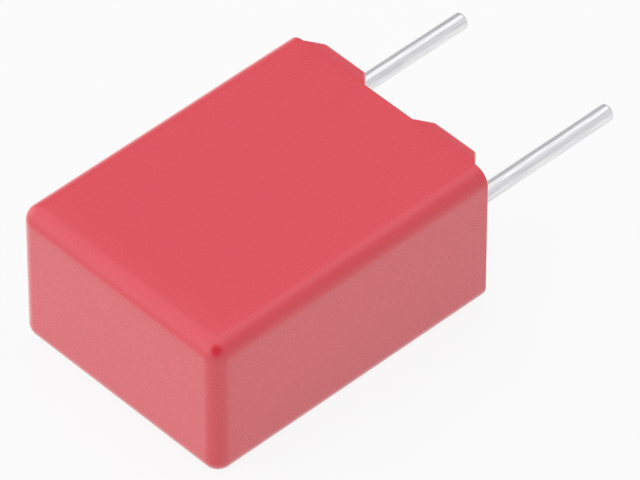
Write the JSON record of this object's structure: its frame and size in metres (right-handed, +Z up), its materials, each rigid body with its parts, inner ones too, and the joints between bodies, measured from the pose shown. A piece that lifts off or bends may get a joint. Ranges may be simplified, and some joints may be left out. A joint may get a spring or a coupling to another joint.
{
  "type": "box film capacitor",
  "caption": "Radial box film capacitor: moulded red case with stand-off feet, resin-sealed base, a flat wound film element inside and straight tinned wires.",
  "frame": {"origin": "middle of the wide wall that the case lies on", "axes": "+Z up through the thickness, +Y the way both wires leave the base, +X across the two wires"},
  "size_m": [0.0072, 0.0147, 0.0044],
  "materials": {
    "moulded_red": "satin moulded thermoplastic",
    "cast_resin": "glossy cast epoxy",
    "metallised_film": "silvery metallised film",
    "sprayed_metal": "rough sprayed zinc",
    "tinned_wire": "bright drawn tin plating"
  },
  "bodies": {
    "root": {"case": "moulded_red", "resin_seal": "cast_resin", "film_winding": "metallised_film", "contact_left": "sprayed_metal", "contact_right": "sprayed_metal", "lead_left": "tinned_wire", "lead_right": "tinned_wire"}
  },
  "joints": []
}
